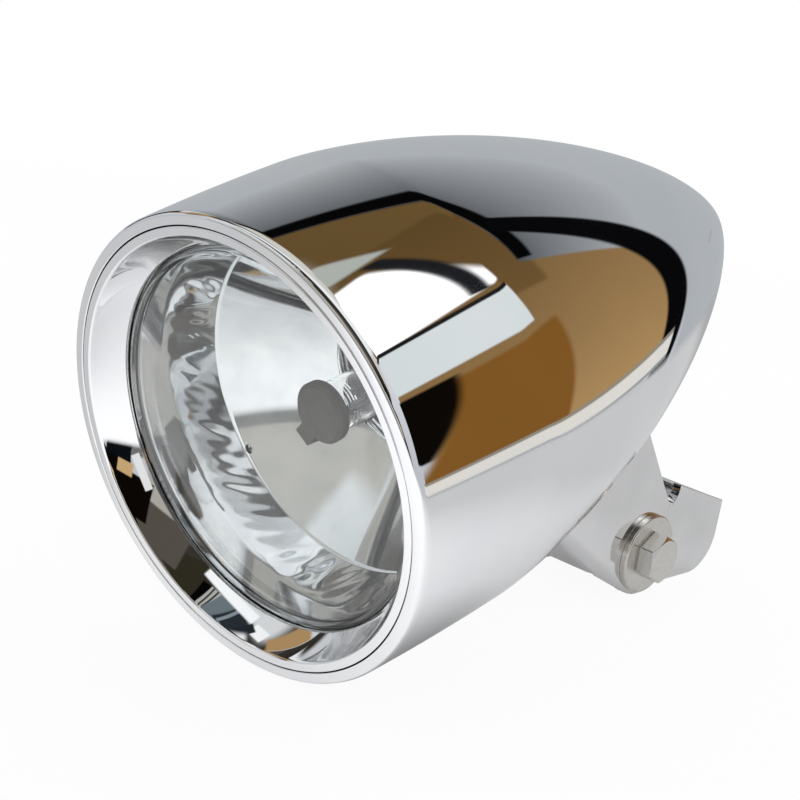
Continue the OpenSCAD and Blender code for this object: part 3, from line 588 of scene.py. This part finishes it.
# A round white table top that fades out before its edge; camera and mirrors see it mostly as plain white,
# with part of the soft shadow left
def makeFloor():
    d = floorShape
    turn = np.linspace(0, 2 * np.pi, 96, endpoint=False)[None, :]
    r = np.linspace(d["radius"], 0, 12)[:, None]
    grid = np.stack([r * np.cos(turn), r * np.sin(turn), -d["drop"] + 0 * r * turn], -1)
    mesh = meshFromGrid("tableTop", grid, outward=False)
    material, tree, shader, place = newMaterial("mattTable", d["shade"], Roughness=0.9)
    shader.inputs["Specular IOR Level"].default_value = 0.0
    path = addNode(tree, "LightPath")
    seen = addNode(tree, "Math", {"operation": "MULTIPLY", 1: d["cameraWhite"]}, {0: path.outputs["Is Camera Ray"]})
    lamp = addNode(tree, "VectorMath", {"operation": "DISTANCE", 1: d["lampPlace"]}, {0: place}).outputs["Value"]
    near = addNode(tree, "MapRange", {"interpolation_type": "SMOOTHSTEP", "From Min": 0.04, "From Max": 0.15,
                   "To Min": d["mirrorNear"], "To Max": d["mirrorFar"]}, {"Value": lamp}).outputs["Result"]
    mirrored = addNode(tree, "Math", {"operation": "MULTIPLY"}, {0: near, 1: path.outputs["Is Glossy Ray"]})
    share = addNode(tree, "Math", {"operation": "MAXIMUM"}, {0: seen.outputs[0], 1: mirrored.outputs[0]})
    # in the chrome the table is brighter ahead of the lamp than behind it
    part = addNode(tree, "SeparateXYZ", {}, {"Vector": place})
    tone = addNode(tree, "MapRange", {"interpolation_type": "SMOOTHSTEP", "From Min": -0.24, "From Max": 0.06,
                   "To Min": d["frontTone"], "To Max": d["backTone"]}, {"Value": part.outputs["Y"]}).outputs["Result"]
    left = addNode(tree, "MapRange", {"interpolation_type": "SMOOTHSTEP", "From Min": -0.12, "From Max": -0.02,
                   "To Min": d["leftTone"], "To Max": 1.0}, {"Value": part.outputs["X"]}).outputs["Result"]
    toned = addNode(tree, "Math", {"operation": "MULTIPLY"}, {0: tone, 1: left}).outputs[0]
    strength = addNode(tree, "Mix", {"data_type": "FLOAT", 3: 1.0}, {0: path.outputs["Is Camera Ray"], 2: toned})
    white = addNode(tree, "Emission", {"Color": (1, 1, 1, 1)}, {"Strength": strength.outputs[0]})
    lit = addNode(tree, "MixShader", {}, {0: share.outputs[0], 1: shader.outputs["BSDF"], 2: white.outputs["Emission"]})
    # painted shadow: the shell also mirrors the table darkened just behind the place where the rim stands on it, a
    # contact shadow painted into the table's mirrored white
    reach = d["contactReach"]
    stand = addNode(tree, "VectorMath", {"operation": "DISTANCE", 1: d["contactPlace"]}, {0: place}).outputs["Value"]
    gap = addNode(tree, "MapRange", {"interpolation_type": "SMOOTHSTEP", "From Min": reach[0], "From Max": reach[1],
                  "To Min": d["contactShade"], "To Max": 0.0}, {"Value": stand}).outputs["Result"]
    behind = addNode(tree, "MapRange", {"From Min": -0.17, "From Max": -0.16, "To Min": 0.0, "To Max": 1.0},
                     {"Value": part.outputs["Y"]}).outputs["Result"]
    paintedShadowMask = addNode(tree, "Math", {"operation": "MULTIPLY"}, {0: gap, 1: behind}).outputs[0]
    dark = addNode(tree, "Math", {"operation": "MULTIPLY"}, {0: paintedShadowMask, 1: path.outputs["Is Glossy Ray"]}).outputs[0]
    shaded = addNode(tree, "MixShader", {}, {0: dark, 1: lit.outputs["Shader"]})
    away = addNode(tree, "VectorMath", {"operation": "LENGTH"}, {0: place}).outputs["Value"]
    fade = addNode(tree, "MapRange", {"interpolation_type": "SMOOTHSTEP", "From Min": d["fadeFrom"],
                   "From Max": d["radius"] * 0.97, "To Min": 0.0, "To Max": 1.0}, {"Value": away}).outputs["Result"]
    clear = addNode(tree, "BsdfTransparent")
    whole = addNode(tree, "MixShader", {}, {0: fade, 1: shaded.outputs["Shader"], 2: clear.outputs["BSDF"]})
    tree.links.new(whole.outputs["Shader"], tree.nodes["Material Output"].inputs["Surface"])
    floor = bpy.data.objects.new("tableTop", mesh)
    bpy.context.scene.collection.objects.link(floor)
    mesh.materials.append(material)


# Unit vector; azimuth 0 is towards -Y, where the lamp shines, and 90 towards +X
def direction(azimuth, elevation):
    a, e = math.radians(azimuth), math.radians(elevation)
    return np.array([math.sin(a) * math.cos(e), -math.cos(a) * math.cos(e), math.sin(e)])


# A flat panel far away: its centre's direction, half its width and height in degrees, and its colour.
# The view direction is divided by its part along the centre, which makes straight edges straight
def addPanel(tree, view, under, azimuth, elevation, halfWidth, halfHeight, colour, roll=0.0, soft=1.5, strength=1.0,
             fadeTo=None):
    centre = direction(azimuth, elevation)
    across = np.cross([0, 0, 1], centre)
    across /= np.linalg.norm(across)
    up = np.cross(centre, across)
    turned = math.radians(roll)
    across, up = math.cos(turned) * across + math.sin(turned) * up, math.cos(turned) * up - math.sin(turned) * across

    def along(axis):
        return addNode(tree, "VectorMath", {"operation": "DOT_PRODUCT", 1: tuple(axis)}, {0: view}).outputs["Value"]

    depth = addNode(tree, "Math", {"operation": "MAXIMUM", 1: 0.02}, {0: along(centre)}).outputs[0]
    insides = []
    for axis, half in ((across, halfWidth), (up, halfHeight)):
        ratio = addNode(tree, "Math", {"operation": "DIVIDE"}, {0: along(axis), 1: depth}).outputs[0]
        size = addNode(tree, "Math", {"operation": "ABSOLUTE"}, {0: ratio}).outputs[0]
        edge, blur = math.tan(math.radians(half)), math.radians(soft)
        insides.append(addNode(tree, "MapRange", {"interpolation_type": "SMOOTHSTEP", "From Min": edge + blur,
                               "From Max": edge - blur, "To Min": 0.0, "To Max": 1.0}, {"Value": size}))
    mask = addNode(tree, "Math", {"operation": "MULTIPLY"}, {k: inside.outputs["Result"]
                                                            for k, inside in enumerate(insides)}).outputs[0]
    rgb = tuple(c * strength for c in linear(colour)[:3]) + (1.0,)
    layer = addNode(tree, "MixRGB", {"Color2": rgb}, {"Fac": mask, "Color1": under})
    if fadeTo:  # the panel's colour runs from its lower to its upper edge
        share = addNode(tree, "MapRange", {"From Min": -edge, "From Max": edge}, {"Value": ratio}).outputs["Result"]
        top = tuple(c * strength for c in linear(fadeTo)[:3]) + (1.0,)
        fade = addNode(tree, "MixRGB", {"Color1": rgb, "Color2": top}, {"Fac": share})
        tree.links.new(fade.outputs["Color"], layer.inputs["Color2"])
    return layer.outputs["Color"]


# The room as the chrome shows it: (azimuth, elevation, half width, half height, colour, options), back to front;
# angles in degrees
roomPanels = [
    (180, 66, 36, 13, "#6b5430", {"soft": 2.0, "fadeTo": "#5a4628"}),  # brown ceiling boards
    (180, 84, 60, 11, "#c9c7c0", {"soft": 2.0}),
    (149, 30, 26, 34, "#a8875a", {"soft": 0.8, "fadeTo": "#5c4525"}),  # plywood wall
    (136, 12, 11, 16, "#7d5524", {"soft": 1.0}),
    (140.6, 59.5, 14.5, 10.7, "#ffffff", {"soft": 0.7, "strength": 1.6}),  # upper softbox
    (160.3, 54.6, 7.0, 17.5, "#6b5230", {"soft": 0.9, "roll": -33, "fadeTo": "#5a4526"}),  # ceiling past its end
    (149.8, 59.6, 1.0, 12.8, "#1b1c1f", {"soft": 0.4, "roll": -36.6}),  # its folded black hood
    (178.4, 72.0, 3.4, 3.5, "#a9ada6", {"soft": 0.6, "roll": 45}),  # grey board beside it
    (-148, 12, 36, 47, "#a9adb0", {"soft": 0.8, "fadeTo": "#a8acaf"}),  # grey paper sweep
    (-148, 44, 36, 15, "#a6aaad", {"soft": 0.8, "fadeTo": "#4c4f52"}),  # its upper part falls into shade
    (-150, 57, 33, 2.2, "#060607", {"soft": 0.6, "roll": 2}),  # its black top bar
    (175, 22, 3.2, 30, "#08080a", {"soft": 0.5, "roll": -4}),  # its black side post
    (129, 39, 11, 7.6, "#d4dada", {"soft": 0.5}),  # the softbox's front cloth
    (126, 47, 13, 0.7, "#1a1a1a", {"soft": 0.3}),  # rod between the two
    (120, 17, 5, 12, "#0b0806", {"soft": 0.6}),  # dark doorway
    (148, -2.2, 26, 0.5, "#8c867c", {"soft": 0.25}),  # seam of the wall
    (148, -4.6, 26, 1.9, "#d9d6cf", {"soft": 0.3}),  # pale skirting
    (148, -6.9, 26, 0.4, "#8f9192", {"soft": 0.25}),
]
# What throat, glass and bowl show of the room in front
frontPanels = [
    (0, 62, 62, 30, "#35322d", {"soft": 3.0}),  # dim upper half of the room
    (4, 12, 44, 22, "#a8a49c", {"soft": 3.0}),  # hazy room beyond the table
    (10, -4.5, 58, 4.5, "#6f6f6d", {"soft": 1.0}),  # its dim floor, over the table's edge
    (-38, 33, 22, 13, "#d0d2d2", {"soft": 5.0}),  # window
    (17, 53, 17, 13, "#2d2a20", {"soft": 0.8}),  # dark curtain above
    (-2, 56, 2.6, 8, "#050505", {"soft": 0.4}),
    (-11, 56, 3.4, 8, "#a9aaa4", {"soft": 0.3}),  # blinds, with two dark gaps
    (-8.5, 56, 0.5, 8, "#2a2b2a", {"soft": 0.25}),
    (-12.5, 56, 0.5, 8, "#2a2b2a", {"soft": 0.25}),
    (-23, 55, 5.2, 9, "#667076", {"soft": 0.6}),
    (-42, 54, 7.5, 8, "#262c30", {"soft": 0.8}),
    (-34, 55, 1.0, 8, "#7d8890", {"soft": 0.3}),
    (-22, 45, 18, 2.8, "#f2f4f4", {"soft": 0.8}),  # bright strip of the window
    (-58, 43, 5, 3.2, "#eef0f0", {"soft": 0.6, "roll": 25}),
    (-52, 49, 3, 5, "#20262c", {"soft": 0.5}),
    (-77, 30, 9, 10, "#a5865c", {"soft": 1.0}),  # wooden shelf
    (-97, 14, 9, 12, "#08080a", {"soft": 0.8}),
    (40, 36, 15, 12, "#524c46", {"soft": 0.8, "roll": -24}),
    (57, 20, 9.5, 11, "#0a0705", {"soft": 0.5, "roll": -18}),  # dark screen behind the camera
    (66, 8, 8, 9, "#0a0705", {"soft": 0.4}),
    (62, 6.5, 5, 3.4, "#c2a273", {"soft": 0.4, "roll": -14}),
    (51.5, 7, 2.4, 9, "#dfe0de", {"soft": 0.3, "roll": 28}),
    (66, -2.5, 8, 4.5, "#0b0e12", {"soft": 0.5, "roll": -12}),
    (20, 86, 40, 8, "#e8eaeb", {"soft": 3.0}),
]
roomLight = {"low": "#b9bcc0", "high": "#dfe1e3", "strength": 1.18}


# Even light and white for the camera, the panels over a plain gradient for mirrors and glass
def makeRoom():
    world = bpy.data.worlds.new("photoRoom")
    bpy.context.scene.world = world
    world.use_nodes = True
    tree = world.node_tree
    tree.nodes.clear()
    view = addNode(tree, "TexCoord").outputs["Generated"]
    height = addNode(tree, "SeparateXYZ", {}, {"Vector": view}).outputs["Z"]
    base = addNode(tree, "ValToRGB", {}, {"Fac": height})
    base.color_ramp.elements[0].color = linear(roomLight["low"])
    base.color_ramp.elements[1].color = linear(roomLight["high"])
    colour = base.outputs["Color"]
    for azimuth, elevation, halfWidth, halfHeight, tone, options in roomPanels + frontPanels:
        colour = addPanel(tree, view, colour, azimuth, elevation, halfWidth, halfHeight, tone, **options)
    room = addNode(tree, "Background", {"Strength": roomLight["strength"]}, {"Color": colour})
    plain = addNode(tree, "Background", {"Color": (1, 1, 1, 1), "Strength": 1.0})
    path = addNode(tree, "LightPath")
    even = addNode(tree, "Math", {"operation": "MAXIMUM"},
                   {0: path.outputs["Is Camera Ray"], 1: path.outputs["Is Diffuse Ray"]})
    mix = addNode(tree, "MixShader", {}, {0: even.outputs[0], 1: room.outputs[0], 2: plain.outputs[0]})
    output = addNode(tree, "OutputWorld")
    tree.links.new(mix.outputs["Shader"], output.inputs["Surface"])


# Lens and turn in mm and degrees; place along the camera's own axes in mm
photoCamera = {"lens": 81.0, "azimuth": 43.39, "elevation": 27.03, "roll": -1.48, "right": 37.92, "up": 12.88,
               "away": 412.6}


# Placed in the lamp's frame: its axes from azimuth, elevation and roll, its place along them in mm
def makeCamera():
    d = photoCamera
    back = direction(d["azimuth"], d["elevation"])
    right = np.cross([0, 0, 1], back)
    right /= np.linalg.norm(right)
    up = np.cross(back, right)
    c, s = math.cos(math.radians(d["roll"])), math.sin(math.radians(d["roll"]))
    axes = np.stack([c * right + s * up, c * up - s * right, back])
    place = fromHead(np.array([d["right"], d["up"], d["away"]]) @ axes)
    turned = turnX(axes, headTilt())
    camera = bpy.data.objects.new("photoCamera", bpy.data.cameras.new("photoCamera"))
    camera.data.lens, camera.data.sensor_width = d["lens"], 36.0
    camera.data.clip_start, camera.data.clip_end = 0.01, 20.0
    matrix = np.eye(4)
    matrix[:3, :3] = turned.T
    matrix[:3, 3] = place
    camera.matrix_world = Matrix(matrix.tolist())
    bpy.context.scene.collection.objects.link(camera)
    bpy.context.scene.camera = camera


makeFloor()
makeRoom()
makeCamera()
bpy.context.scene.view_settings.view_transform = "Standard"
print("room and camera made")
